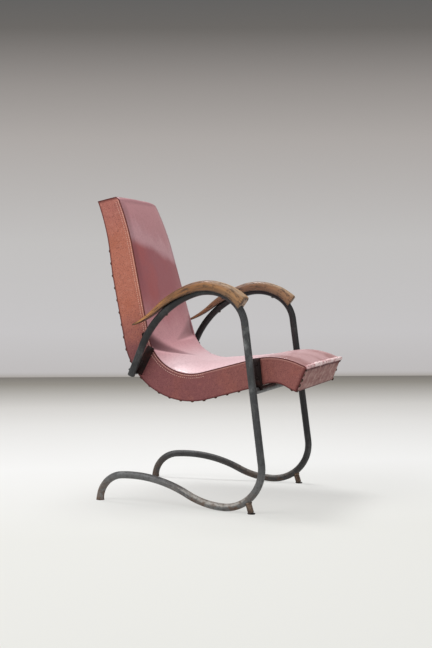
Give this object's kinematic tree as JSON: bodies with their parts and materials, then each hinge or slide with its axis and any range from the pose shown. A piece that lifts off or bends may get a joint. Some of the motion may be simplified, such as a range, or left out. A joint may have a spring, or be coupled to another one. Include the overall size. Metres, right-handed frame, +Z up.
{
  "type": "cantilever lounge chair",
  "caption": "Lounge chair whose bent steel side tubes carry an S-shaped padded shell with no rear legs, with a curved wooden armrest along the top of each tube.",
  "frame": {"origin": "on the floor, midway between the chair's left and right and between its front and back", "axes": "+Z up, +Y towards the back of the chair, X across it, and the sitter faces -Y"},
  "size_m": [0.6448, 0.6918, 0.923],
  "materials": {
    "frame_steel": "satin charcoal paint, scratched",
    "worn_steel": "worn paint over rust",
    "strap_steel": "dull dark paint",
    "screw_steel": "dull",
    "pad_rubber": "matte",
    "arm_wood": "worn varnish",
    "frame_wood": "raw",
    "deck_board": "raw",
    "wadding": "matte",
    "face_vinyl": "satin",
    "side_vinyl": "matte grain",
    "back_cloth": "matte"
  },
  "bodies": {
    "root": {"side_tube_left": "frame_steel", "armrest_left": "arm_wood", "arm_screw_front_left": "screw_steel", "arm_screw_rear_left": "screw_steel", "floor_plug_left": "worn_steel", "tube_end_cap_left": "frame_steel", "front_foot_left": "worn_steel", "foot_pad_left": "pad_rubber", "side_tube_right": "frame_steel", "armrest_right": "arm_wood", "arm_screw_front_right": "screw_steel", "arm_screw_rear_right": "screw_steel", "floor_plug_right": "worn_steel", "tube_end_cap_right": "frame_steel", "front_foot_right": "worn_steel", "foot_pad_right": "pad_rubber", "front_cross_tube": "frame_steel", "rear_cross_bar": "frame_steel", "front_strap_left": "strap_steel", "front_strap_right": "strap_steel", "rear_strap_left": "strap_steel", "rear_strap_right": "strap_steel", "front_strap_screw_lower_left": "screw_steel", "front_strap_screw_lower_right": "screw_steel", "front_strap_screw_upper_left": "screw_steel", "front_strap_screw_upper_right": "screw_steel", "rear_strap_screw_lower_left": "screw_steel", "rear_strap_screw_lower_right": "screw_steel", "rear_strap_screw_upper_left": "screw_steel", "rear_strap_screw_upper_right": "screw_steel", "rail_bolt_left": "strap_steel", "rail_bolt_right": "strap_steel", "side_board_left": "frame_wood", "side_board_right": "frame_wood", "front_board": "frame_wood", "seat_rail": "frame_wood", "lap_rail": "frame_wood", "back_rail": "frame_wood", "top_rail": "frame_wood", "lumbar_rail": "frame_wood", "spring_deck": "deck_board", "padding": "wadding", "face_cover": "face_vinyl", "side_cover_left": "side_vinyl", "side_cover_right": "side_vinyl", "back_cover": "back_cloth", "front_cover": "face_vinyl", "top_cover": "face_vinyl"}
  },
  "joints": []
}
